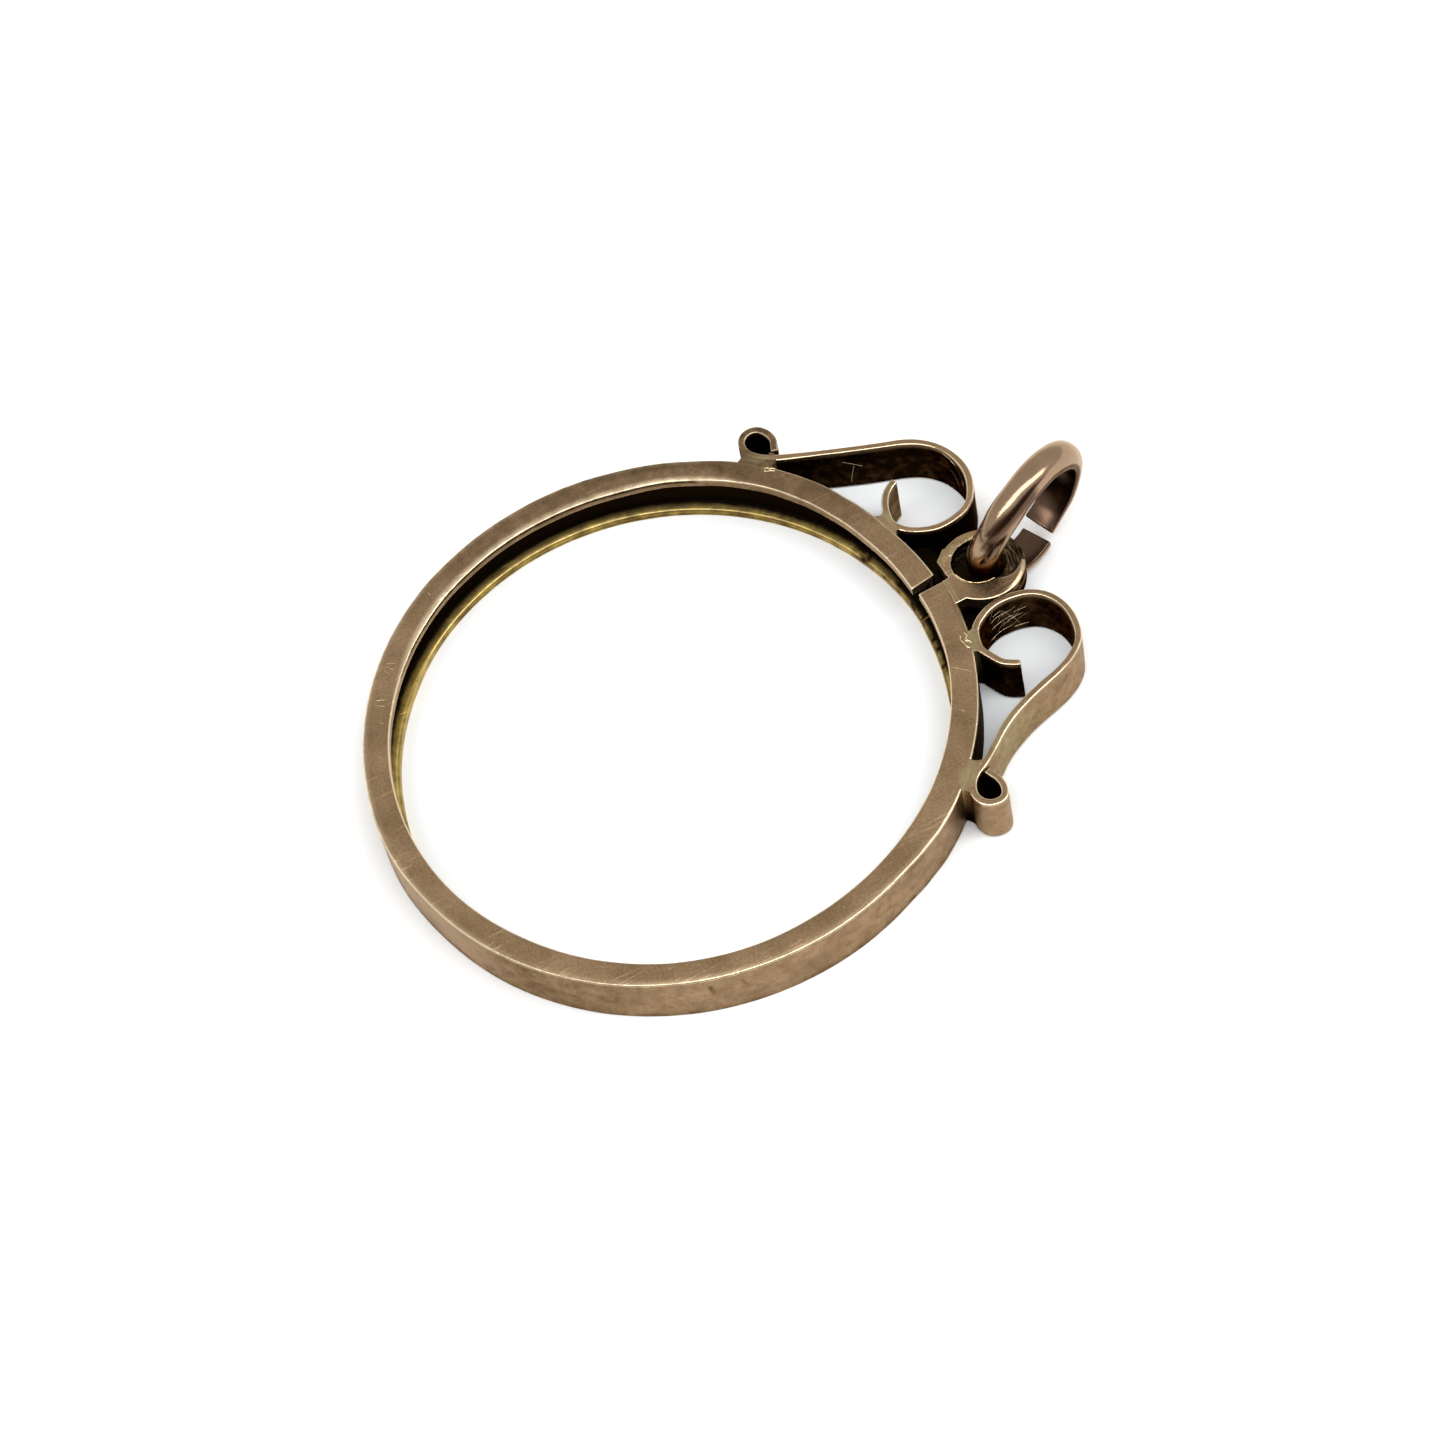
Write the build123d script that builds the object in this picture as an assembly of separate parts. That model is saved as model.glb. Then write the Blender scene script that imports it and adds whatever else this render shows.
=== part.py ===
from build123d import *
import math
import os

# Sizes of the coin and of the band that holds it, in mm
coin_width = 22.05
coin_thickness = 1.52
coin_side_play = 0.145
coin_flat_play = 0.03
band_wall = 0.53
lip_cover = 0.42
lip_height = 0.43
band_edge_round = 0.09

# The split in the band, narrower at the inner edge, and where it stands sideways
split_gap_outside = 0.26
split_gap_inside = 0.16
split_offset = 0.14

# Strip that the two scrolls are bent from, how far the scrolls stand out, and the solder that holds them
strip_thickness = 0.28
strip_height = 2.3
scroll_reach = 4.0
solder_bite = 0.12
solder_recess = 0.06
small_curl_stations = 3

# Ear that carries the jump ring, its foot on the left and its soldered neck on the right
ear_outer_radius = 1.66
ear_hole_radius = 1.135
ear_height = 1.05
ear_standoff = 1.84
ear_sideways = 0.4
ear_hole_left = 0.11
ear_hole_out = 0.07
ear_foot_gap = 0.6
ear_foot_left = 1.35
ear_foot_flare = 0.25
ear_neck_width = 1.23
ear_hole_chamfer = 0.16
ear_wear_depth = 0.5
ear_wear_right = 0.2

# Jump ring: a ring of D-shaped wire, flat inside and domed outside, cut and sprung a little sideways.
# It leans and turns from standing across the split, and its middle stands over and out from the ear.
ring_inner_radius = 2.47
wire_width = 1.27
wire_thickness = 0.73
ring_gap = 0.42
ring_lean = 10.8
ring_turn = 24.2
ring_lift = 0.84
ring_out = 2.34
ring_sideways = -0.61
ring_gap_angle = -71.0
near_leg_turn = 85.0
lower_leg_turn = 70.0
upper_leg_twist = 2.0
lower_leg_twist = 10.0
cut_end_twist = -12.0

# Smallest length and turn that count as more than nothing
hair = 1e-6

# Worked out from the sizes above
groove_radius = coin_width / 2 + coin_side_play
groove_height = coin_thickness + coin_flat_play
band_radius = groove_radius + band_wall
band_depth = groove_height + 2 * lip_height
lip_radius = groove_radius - lip_cover
strip_bottom = band_depth - strip_height
ear_bottom = band_depth - ear_height
ear_y = band_radius + ear_standoff
ring_radius = ring_inner_radius + wire_thickness / 2

# Stations along each scroll's middle line, from the small curl's free end to the big curl's tail.
# Columns: angle round the band from +Y in degrees, height over the band as a share of scroll_reach,
# and the direction of the strip in degrees from +X.
left_scroll = [
    (-43.2, 0.22, 163),
    (-44.7, 0.37, 185),
    (-48.8, 0.39, 270),
    (-49.0, 0.19, 360),
    (-44.7, 0.12, 410),
    (-40.4, 0.19, 425),
    (-28.6, 0.61, 427),
    (-22.5, 0.92, 411),
    (-14.7, 0.98, 360),
    (-10.0, 0.79, 324),
    (-8.5, 0.42, 272),
    (-11.3, 0.13, 235),
    (-16.2, 0.06, 175),
    (-20.0, 0.22, 145),
    (-21.0, 0.42, 112),
]
right_scroll = [
    (43.2, 0.22, 17),
    (44.9, 0.39, 2),
    (48.2, 0.43, 270),
    (48.5, 0.20, 180),
    (45.5, 0.13, 138),
    (41.3, 0.19, 123),
    (31.9, 0.38, 115),
    (25.6, 0.73, 104),
    (20.9, 1.01, 130),
    (15.0, 1.03, 180),
    (10.8, 0.84, 223),
    (9.6, 0.46, 267),
    (12.4, 0.17, 306),
    (17.0, 0.11, 350),
    (20.8, 0.25, 384),
    (22.2, 0.47, 423),
]

# Solder joints between the band and the strips.
# Columns: angles where the solder starts and ends round the band, and how far out it reaches,
# as a share of scroll_reach.
solder_joints = [
    (-17.8, -13.4, 0.06),
    (-49.4, -41.5, 0.10),
    (14.0, 18.2, 0.08),
    (41.9, 48.2, 0.10),
]


def around(angle, radius):
    """Point at this angle from +Y, positive to the right."""
    turn = math.radians(angle)
    return Vector(radius * math.sin(turn), radius * math.cos(turn))


def heading(angle):
    """Unit vector in this direction from +X."""
    turn = math.radians(angle)
    return Vector(math.cos(turn), math.sin(turn))


def side_of(direction):
    """Unit vector to the left of a direction."""
    return Vector(-direction.Y, direction.X)


def biarc_joint(start, start_way, end, end_way):
    """Point and direction where two arcs meet that join the two stations smoothly."""
    chord = end - start
    ways = start_way + end_way
    spread = 2 * (1 - start_way.dot(end_way))
    along = chord.dot(ways)
    if spread < hair:
        reach = chord.dot(chord) / (2 * along)
    else:
        reach = (math.sqrt(along * along + spread * chord.dot(chord)) - along) / spread
    first = start + start_way * reach
    last = end - end_way * reach
    return (first + last) * 0.5, (last - first).normalized()


def smooth_line(stations):
    """Points and directions of a line of tangent arcs through the stations of a scroll."""
    places = [around(angle, band_radius + share * scroll_reach) for angle, share, way in stations]
    ways = [heading(way) for angle, share, way in stations]
    line = [(places[0], ways[0])]
    for i in range(1, len(stations)):
        line.append(biarc_joint(places[i - 1], ways[i - 1], places[i], ways[i]))
        line.append((places[i], ways[i]))
    return line


def strip(line, ends):
    """A strip of even thickness along a line of tangent arcs, with a rounded end wherever ends says so."""
    half = strip_thickness / 2
    left = [place + side_of(way) * half for place, way in line]
    right = [place - side_of(way) * half for place, way in line]
    edges = []
    for i in range(len(line) - 1):
        way = line[i][1]
        edges.append(TangentArc(left[i], left[i + 1], tangent=way))
        edges.append(TangentArc(right[i], right[i + 1], tangent=way))
    for spot, out, rounded in ((0, -1, ends[0]), (-1, 1, ends[1])):
        place, way = line[spot]
        if rounded:
            edges.append(ThreePointArc(left[spot], place + way * out * half, right[spot]))
        else:
            edges.append(Line(left[spot], right[spot]))
    return Pos(0, 0, strip_bottom) * extrude(make_face(Curve() + edges), amount=strip_height)


def scroll(stations):
    """The small curl and the rest of the strip, joined where the small curl ends."""
    line = smooth_line(stations)
    curl_end = 2 * small_curl_stations
    return strip(line[: curl_end + 1], (True, False)) + strip(line[curl_end:], (False, True))


def band():
    """The ring with its groove and two lips, turned round the Z axis."""
    outline = Polyline(
        (lip_radius, 0),
        (band_radius, 0),
        (band_radius, band_depth),
        (lip_radius, band_depth),
        (lip_radius, band_depth - lip_height),
        (groove_radius, band_depth - lip_height),
        (groove_radius, lip_height),
        (lip_radius, lip_height),
        close=True,
    )
    section = Plane.XZ * make_face(outline)
    ring = revolve(section, Axis.Z, 360)
    rims = ring.edges().filter_by_position(Axis.Z, -hair, hair)
    rims += ring.edges().filter_by_position(Axis.Z, band_depth - hair, band_depth + hair)
    return fillet(rims, band_edge_round)


def split():
    """The wedge that is cut out of the band."""
    inner = lip_radius - lip_cover
    outer = band_radius + band_wall
    corners = Polyline(
        (split_offset - split_gap_inside / 2, inner),
        (split_offset + split_gap_inside / 2, inner),
        (split_offset + split_gap_outside / 2, outer),
        (split_offset - split_gap_outside / 2, outer),
        close=True,
    )
    return extrude(make_face(corners), amount=band_depth)


def solder(start, end, share):
    """Solder that fills the corner between the band and a strip."""
    inner = band_radius - solder_bite
    outer = band_radius + share * scroll_reach
    middle = (start + end) / 2
    outline = Curve() + [
        ThreePointArc(around(start, inner), around(middle, inner), around(end, inner)),
        TangentArc(around(end, inner), around(middle, outer), tangent=around(end, 1)),
        TangentArc(around(start, inner), around(middle, outer), tangent=around(start, 1)),
    ]
    return Pos(0, 0, solder_recess) * extrude(make_face(outline), amount=band_depth - 2 * solder_recess)


def ear():
    """The carrying ring, cut flat over the band's left end and soldered to its right end by a neck."""
    neck_left = split_offset + split_gap_outside / 2
    neck_right = neck_left + ear_neck_width
    cut_y = band_radius + ear_foot_gap
    corner_x = ear_sideways - ear_foot_left
    disc = Pos(ear_sideways, ear_y) * Circle(ear_outer_radius)
    below = Pos(ear_sideways, cut_y - ear_outer_radius) * Rectangle(4 * ear_outer_radius, 2 * ear_outer_radius)
    foot = Polyline(
        (corner_x - ear_foot_flare, (cut_y + ear_y) / 2),
        (corner_x, cut_y),
        (neck_left, cut_y),
        (ear_sideways, ear_y),
        close=True,
    )
    neck = Polyline(
        (neck_left, groove_radius),
        (neck_right, groove_radius),
        (neck_right, ear_y - ear_hole_radius),
        (neck_left, ear_y - ear_hole_radius),
        close=True,
    )
    blank = disc - below + make_face(foot) + make_face(neck)
    hole = Pos(ear_sideways - ear_hole_left, ear_y + ear_hole_out)
    wear = Pos(ear_wear_right, 0, ear_height - ear_wear_depth / 2) * Cone(
        ear_hole_radius - ear_wear_right,
        ear_hole_radius,
        ear_wear_depth,
    )
    chamfer = Pos(0, 0, ear_hole_chamfer / 2) * Cone(
        ear_hole_radius + ear_hole_chamfer,
        ear_hole_radius,
        ear_hole_chamfer,
    )
    worn_hole = Pos(0, 0, ear_height / 2) * Cylinder(ear_hole_radius, ear_height) + wear + chamfer
    return Pos(0, 0, ear_bottom) * (extrude(blank, amount=ear_height) - hole * worn_hole)


def coin_frame():
    """Band, scrolls, ear and solder as one piece."""
    frame = band() + scroll(left_scroll) + scroll(right_scroll)
    for start, end, share in solder_joints:
        frame += solder(start, end, share)
    return frame - split() + ear()


def next_arc(place, way, inward, turn, twist):
    """One arc of the jump ring's middle line, and the place and directions at its end."""
    across = way.cross(inward)
    bent = inward * math.cos(math.radians(twist)) + across * math.sin(math.radians(twist))
    middle = place + bent * ring_radius
    spots = []
    for part in (0.5, 1):
        angle = math.radians(turn * part)
        spots.append(middle - bent * ring_radius * math.cos(angle) + way * ring_radius * math.sin(angle))
    angle = math.radians(turn)
    end_way = way * math.cos(angle) + bent * math.sin(angle)
    end_inward = bent * math.cos(angle) - way * math.sin(angle)
    return ThreePointArc(place, spots[0], spots[1]), spots[1], end_way, end_inward


def jump_ring():
    """The cut ring, its legs sprung a little sideways where it was cut."""
    half_gap = math.degrees(ring_gap / 2 / ring_radius)
    turn = math.radians(ring_turn)
    lean = math.radians(ring_lean)
    axle = Vector(math.cos(lean) * math.cos(turn), math.cos(lean) * math.sin(turn), -math.sin(lean))
    outward = Vector(-math.sin(turn), math.cos(turn), 0)
    up = axle.cross(outward)
    middle = Vector(ring_sideways + ear_sideways, ear_y + ring_out, band_depth + ring_lift)
    top = middle + up * ring_radius
    upper_turn = 90 - ring_gap_angle - half_gap
    end_turn = 270 + ring_gap_angle - half_gap - near_leg_turn - lower_leg_turn
    upper, upper_end, upper_way, upper_in = next_arc(top, outward, -up, upper_turn, -upper_leg_twist)
    path = [upper]
    place, way, inward = top, -outward, -up
    for turn, twist in ((near_leg_turn, 0), (lower_leg_turn, lower_leg_twist), (end_turn, cut_end_twist)):
        arc, place, way, inward = next_arc(place, way, inward, turn, twist)
        path.append(arc)
    half = wire_width / 2
    section = Plane(origin=upper_end, x_dir=upper_in.cross(upper_way), z_dir=upper_way)
    outline = Curve() + [
        Line((-half, wire_thickness / 2), (half, wire_thickness / 2)),
        ThreePointArc((half, wire_thickness / 2), (0, -wire_thickness / 2), (-half, wire_thickness / 2)),
    ]
    return sweep(section * make_face(outline), path=Wire(path))


os.makedirs("parts", exist_ok=True)
pieces = {"coin_frame": coin_frame(), "jump_ring": jump_ring()}
for name, piece in pieces.items():
    print(name, round(piece.volume, 3), len(piece.solids()), piece.is_valid, piece.bounding_box())
    export_step(piece, f"parts/{name}.step")
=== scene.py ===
import bpy
import math
import random
from mathutils import Matrix, Vector, kdtree, noise


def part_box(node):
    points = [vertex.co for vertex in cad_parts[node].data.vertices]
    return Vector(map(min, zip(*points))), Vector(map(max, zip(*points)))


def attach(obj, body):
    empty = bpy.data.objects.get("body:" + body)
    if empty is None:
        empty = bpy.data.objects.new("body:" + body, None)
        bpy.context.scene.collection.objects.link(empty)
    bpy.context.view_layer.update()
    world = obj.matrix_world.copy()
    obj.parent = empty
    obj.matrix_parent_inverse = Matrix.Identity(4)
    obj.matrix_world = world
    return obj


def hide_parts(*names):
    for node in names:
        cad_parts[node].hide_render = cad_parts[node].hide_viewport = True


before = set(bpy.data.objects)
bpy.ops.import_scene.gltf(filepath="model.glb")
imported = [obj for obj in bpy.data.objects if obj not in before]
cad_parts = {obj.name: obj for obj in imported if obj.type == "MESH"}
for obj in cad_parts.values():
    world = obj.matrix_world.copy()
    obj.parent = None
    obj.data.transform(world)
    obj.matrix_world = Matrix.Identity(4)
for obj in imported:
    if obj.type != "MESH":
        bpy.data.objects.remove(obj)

mm = 0.001
tiny = 0.01 * mm     # how near a point has to lie to be picked
noise.seed_set(8)     # or noise_vector would differ from run to run
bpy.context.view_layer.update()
frameLow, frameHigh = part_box("coin_frame")
bandRadius = -frameLow.y
bandDepth = frameHigh.z
print("frame loaded, band radius", round(bandRadius / mm, 2), "mm")


# handling objects and edit mode

def letGo():
    if bpy.context.object and bpy.context.object.mode != "OBJECT":
        bpy.ops.object.mode_set(mode="OBJECT")
    bpy.ops.object.select_all(action="DESELECT")


def pickUp(piece):
    letGo()
    piece.select_set(True)
    bpy.context.view_layer.objects.active = piece


def named(name):
    piece = bpy.context.object
    piece.name = name
    piece.data.name = name
    return piece


def setInPlace(piece):
    pickUp(piece)
    bpy.ops.object.transform_apply(location=True, rotation=True, scale=True)


def editAll(piece):
    pickUp(piece)
    bpy.ops.object.mode_set(mode="EDIT")
    bpy.ops.mesh.select_all(action="SELECT")


def pickIn(piece, kind, test):
    # picks the vertices, edges or faces whose middle passes the test, and goes back to edit mode
    bpy.ops.object.mode_set(mode="EDIT")
    bpy.ops.mesh.select_mode(type=kind)
    bpy.ops.mesh.select_all(action="DESELECT")
    bpy.ops.object.mode_set(mode="OBJECT")
    mesh = piece.data
    if kind == "VERT":
        for v in mesh.vertices:
            v.select = test(v.co)
    elif kind == "EDGE":
        for e in mesh.edges:
            ends = [mesh.vertices[i].co for i in e.vertices]
            e.select = test((ends[0] + ends[1]) / 2)
    else:
        for face in mesh.polygons:
            face.select = test(face.center)
    bpy.ops.object.mode_set(mode="EDIT")


def finishWith(piece, kind, **settings):
    pickUp(piece)
    modifier = piece.modifiers.new(kind.title(), kind)
    for key, value in settings.items():
        setattr(modifier, key, value)
    bpy.ops.object.modifier_apply(modifier=modifier.name)


def cutAcross(piece, direction, distances):
    # adds a line of vertices where each plane crosses the piece
    for distance in distances:
        editAll(piece)
        bpy.ops.mesh.bisect(plane_co=direction * distance, plane_no=direction)
    letGo()


def smoothOver(piece, angle=35, weighted=True):
    pickUp(piece)
    bpy.ops.object.shade_smooth_by_angle(angle=math.radians(angle))
    if weighted:
        finishWith(piece, "WEIGHTED_NORMAL", keep_sharp=True, weight=90)


def closeUp(piece):
    # merges doubles and turns every face outwards
    editAll(piece)
    bpy.ops.mesh.remove_doubles(threshold=0.0005 * mm)
    bpy.ops.mesh.normals_make_consistent(inside=False)
    letGo()


def roundEnds(piece, width, steps, angle):
    # rounds the edges that are sharper than the angle
    limit = math.radians(angle)
    finishWith(piece, "BEVEL", width=width, segments=steps, limit_method="ANGLE", angle_limit=limit)


def unsettle(piece, amount, size, seed=0, where=None, level=False):
    # pushes the surface in and out a little, as hand work and wear leave it
    mesh = piece.data
    moved = []
    for v in mesh.vertices:
        strength = where(v.co) if where else 1.0
        push = v.normal * noise.noise(v.co / size + Vector((seed, 0, 0))) * amount * strength
        if level:
            push.z = 0
        moved.append(v.co + push)
    for v, place in zip(mesh.vertices, moved):
        v.co = place
    mesh.update()


def paint(piece, **amounts):
    # four values from 0 to 1 on each vertex, which the metal's nodes read:
    # each is given as one number or as a function of the place, and is 0 if left out
    for name in ("tarnish", "solder", "polish", "rub"):
        amount = amounts.get(name, 0.0)
        mask = piece.data.attributes.new(name, "FLOAT", "POINT")
        for v in piece.data.vertices:
            value = amount(v.co) if callable(amount) else amount
            mask.data[v.index].value = max(0.0, min(1.0, value))


def angleOf(place):
    # degrees round the band from the split, positive to the right
    return math.degrees(math.atan2(place.x, place.y))


def around(angle, radius, height=0.0):
    turn = math.radians(angle)
    return Vector((radius * math.sin(turn), radius * math.cos(turn), height))


def fade(value, start, end):
    # 0 before start, 1 after end, smooth between
    t = max(0.0, min(1.0, (value - start) / (end - start)))
    return t * t * (3 - 2 * t)


def between(value, low, high, soft):
    return fade(value, low - soft, low + soft) * (1 - fade(value, high - soft, high + soft))


# metals

def addNode(tree, kind, place, **values):
    node = tree.nodes.new(kind)
    node.location = place
    for key, value in values.items():
        if hasattr(node, key):
            setattr(node, key, value)
        else:
            node.inputs[key.replace("_", " ")].default_value = value
    return node


def rampNode(tree, source, place, stops):
    node = addNode(tree, "ShaderNodeValToRGB", place)
    ramp = node.color_ramp
    while len(ramp.elements) < len(stops):
        ramp.elements.new(1.0)
    for element, (spot, tone) in zip(ramp.elements, stops):
        element.position = spot
        element.color = (*tone, 1)
    tree.links.new(source, node.inputs[0])
    return node.outputs[0]


def grey(value):
    return (value, value, value)


def greyRamp(tree, source, place, stops):
    return rampNode(tree, source, place, [(spot, grey(value)) for spot, value in stops])


def fill(tree, node, socket, value):
    if isinstance(value, bpy.types.NodeSocket):
        tree.links.new(value, node.inputs[socket])
    elif isinstance(value, tuple):
        node.inputs[socket].default_value = (*value, 1)
    else:
        node.inputs[socket].default_value = value


def mixTones(tree, amount, first, second, place, blend="MIX"):
    node = addNode(tree, "ShaderNodeMix", place, data_type="RGBA", blend_type=blend)
    for socket, value in ((0, amount), (6, first), (7, second)):
        fill(tree, node, socket, value)
    return node.outputs[2]


def sums(tree, kind, first, second, place):
    node = addNode(tree, "ShaderNodeMath", place, operation=kind)
    fill(tree, node, 0, first)
    fill(tree, node, 1, second)
    return node.outputs[0]


def plus(tree, first, second, place):
    return sums(tree, "ADD", first, second, place)


def times(tree, first, second, place):
    return sums(tree, "MULTIPLY", first, second, place)


def maskNode(tree, name, place):
    return addNode(tree, "ShaderNodeAttribute", place, attribute_name=name).outputs["Fac"]


def noiseOn(tree, coords, scale, detail, place, stretch=(1, 1, 1), turn=0.0, roughness=0.55):
    # coords are in mm; stretch and turn give it a grain
    mapping = addNode(tree, "ShaderNodeMapping", (place[0] - 200, place[1]), Scale=stretch)
    mapping.inputs["Rotation"].default_value = (0, 0, math.radians(turn))
    tree.links.new(coords, mapping.inputs["Vector"])
    node = addNode(tree, "ShaderNodeTexNoise", place, Scale=scale, Detail=detail, Roughness=roughness)
    tree.links.new(mapping.outputs[0], node.inputs["Vector"])
    return node.outputs["Fac"]


def hairScratches(tree, coords, look):
    # thin lines in three directions, in patches
    total = None
    for turn, place in zip(look["scratchTurns"], (100, -100, -300)):
        lines = noiseOn(tree, coords, look["scratchSize"], 2, (-1500, place), (1.0, 0.035, 0.3), turn)
        line = greyRamp(tree, lines, (-1300, place), [(0.63, 0.0), (0.68, 1.0), (0.72, 0.0)])
        total = line if total is None else plus(tree, total, line, (-1000, place))
    patchy = noiseOn(tree, coords, look["scratchPatches"], 3, (-1500, -500))
    patches = greyRamp(tree, patchy, (-1300, -500), [(0.4, 0.0), (0.65, 1.0)])
    return times(tree, total, patches, (-800, -200))


def lipStreaks(tree, coords, look):
    # yellower metal with streaks that run round, from the distance to the band's middle
    apart = addNode(tree, "ShaderNodeSeparateXYZ", (-2100, -900))
    tree.links.new(coords, apart.inputs[0])
    acrossSquared = times(tree, apart.outputs[0], apart.outputs[0], (-1950, -850))
    alongSquared = times(tree, apart.outputs[1], apart.outputs[1], (-1950, -1000))
    squares = plus(tree, acrossSquared, alongSquared, (-1800, -900))
    fromMiddle = sums(tree, "POWER", squares, 0.5, (-1650, -900))
    turnRound = addNode(tree, "ShaderNodeCombineXYZ", (-1650, -1100))
    tree.links.new(fromMiddle, turnRound.inputs[0])
    tree.links.new(apart.outputs[2], turnRound.inputs[2])
    streaks = noiseOn(tree, turnRound.outputs[0], look["streakSize"], 4, (-1250, -1000))
    worked = noiseOn(tree, coords, look["workedSize"], 3, (-1250, -1200))
    mixed = mixTones(tree, look["workedShare"], streaks, worked, (-1000, -1050))
    return rampNode(tree, mixed, (-850, -1050), [(0.38, look["polishDull"]), (0.62, look["polishBright"])])


def roseGold(name, look):
    material = bpy.data.materials.new(name)
    material.use_nodes = True
    tree = material.node_tree
    shader = tree.nodes["Principled BSDF"]
    shader.inputs["Metallic"].default_value = 1.0
    coordNode = addNode(tree, "ShaderNodeTexCoord", (-2400, 0))
    inMm = addNode(tree, "ShaderNodeMapping", (-2200, 0), Scale=(1 / mm, 1 / mm, 1 / mm))
    tree.links.new(coordNode.outputs["Object"], inMm.inputs["Vector"])
    coords = inMm.outputs[0]

    # cloudy patches of the alloy, the fine grain of a worn matt surface, and hair scratches
    clouds = noiseOn(tree, coords, look["cloudSize"], 5, (-1500, 700))
    clean = rampNode(tree, clouds, (-1300, 700), [(0.34, look["dull"]), (0.66, look["bright"])])
    grain = noiseOn(tree, coords, look["grainSize"], 3, (-1500, 450), roughness=0.75)
    grainTone = greyRamp(tree, grain, (-1300, 450), [(0.32, 1 - look["grain"]), (0.68, 1.0)])
    tone = mixTones(tree, 1.0, clean, grainTone, (-1000, 650), "MULTIPLY")
    scratches = hairScratches(tree, coords, look)
    scratchShare = times(tree, scratches, look["scratch"], (-600, -200))
    tone = mixTones(tree, scratchShare, tone, look["scratchTone"], (-600, 600))

    # the low lip, turned in and polished
    polish = maskNode(tree, "polish", (-850, -1250))
    tone = mixTones(tree, polish, tone, lipStreaks(tree, coords, look), (-450, 550))

    # greenish solder where it was run in, with an uneven edge
    cloudy = times(tree, clouds, look["solderClouds"], (-1200, 1200))
    grainy = times(tree, grain, look["solderGrain"], (-1200, 1100))
    solder = plus(tree, maskNode(tree, "solder", (-1500, 1300)), cloudy, (-1000, 1300))
    solder = plus(tree, solder, grainy, (-850, 1250))
    solderShare = addNode(tree, "ShaderNodeMapRange", (-500, 1250), clamp=True)
    tree.links.new(solder, solderShare.inputs["Value"])
    solderShare.inputs["From Min"].default_value = look["solderFrom"]
    solderShare.inputs["From Max"].default_value = look["solderFull"]
    tone = mixTones(tree, solderShare.outputs[0], tone, look["solderTone"], (-300, 500))

    # edges rubbed bright, partly real wear and partly a painted highlight: where the surface leans between
    # flat and upright
    normals = addNode(tree, "ShaderNodeNewGeometry", (-1500, 1700)).outputs["Normal"]
    lean = addNode(tree, "ShaderNodeSeparateXYZ", (-1300, 1700))
    tree.links.new(normals, lean.inputs[0])
    upness = sums(tree, "ABSOLUTE", lean.outputs[2], 0.0, (-1100, 1700))
    rounding = greyRamp(tree, upness, (-900, 1700), [(0.12, 0.0), (0.35, 1.0), (0.94, 1.0), (0.995, 0.0)])
    rubbed = times(tree, rounding, maskNode(tree, "rub", (-900, 1500)), (-600, 1650))
    rubbed = times(tree, rubbed, look["rub"], (-450, 1650))
    tone = mixTones(tree, rubbed, tone, look["rubTone"], (-150, 450))

    # tarnish from brown to black in the places that never get rubbed, and painted shade from brown to black
    # where shade falls
    broken = noiseOn(tree, coords, look["tarnishSize"], 6, (-1500, -1500), roughness=0.65)
    centred = sums(tree, "SUBTRACT", broken, 0.5, (-1200, -1500))
    uneven = times(tree, centred, look["tarnishBreak"], (-1000, -1500))
    tarnish = plus(tree, maskNode(tree, "tarnish", (-1000, -1650)), uneven, (-800, -1550))
    covered = greyRamp(tree, tarnish, (-600, -1550), [(0.15, 0.0), (0.5, 0.75), (0.8, 1.0)])
    stainAndShade = rampNode(tree, tarnish, (-600, -1800), [(0.2, look["stainAndShade"]), (0.85, look["sootAndShade"])])
    tone = mixTones(tree, covered, tone, stainAndShade, (0, 400))
    tree.links.new(tone, shader.inputs["Base Color"])
    sheen = mixTones(tree, covered, look["sheen"], look["tarnishSheen"], (0, 250))
    tree.links.new(sheen, shader.inputs["Specular Tint"])

    # gloss and relief
    smoothest, roughest = look["roughness"] - 0.06, look["roughness"] + 0.08
    gloss = greyRamp(tree, grain, (-800, 0), [(0.25, smoothest), (0.75, roughest)])
    gloss = mixTones(tree, polish, gloss, grey(look["polishRoughness"]), (-300, 200))
    gloss = mixTones(tree, rubbed, gloss, grey(look["rubRoughness"]), (-150, 150))
    gloss = mixTones(tree, covered, gloss, grey(look["tarnishRoughness"]), (0, 100))
    tree.links.new(gloss, shader.inputs["Roughness"])
    relief = plus(tree, times(tree, grain, look["grainRelief"], (-500, -500)), scratches, (-350, -500))
    crust = times(tree, broken, look["tarnishRelief"], (-350, -700))
    relief = plus(tree, relief, crust, (-250, -600))
    bump = addNode(tree, "ShaderNodeBump", (-150, -400), Strength=look["relief"], Distance=0.01 * mm)
    bump.invert = True
    tree.links.new(relief, bump.inputs["Height"])
    tree.links.new(bump.outputs[0], shader.inputs["Normal"])
    return material


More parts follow.
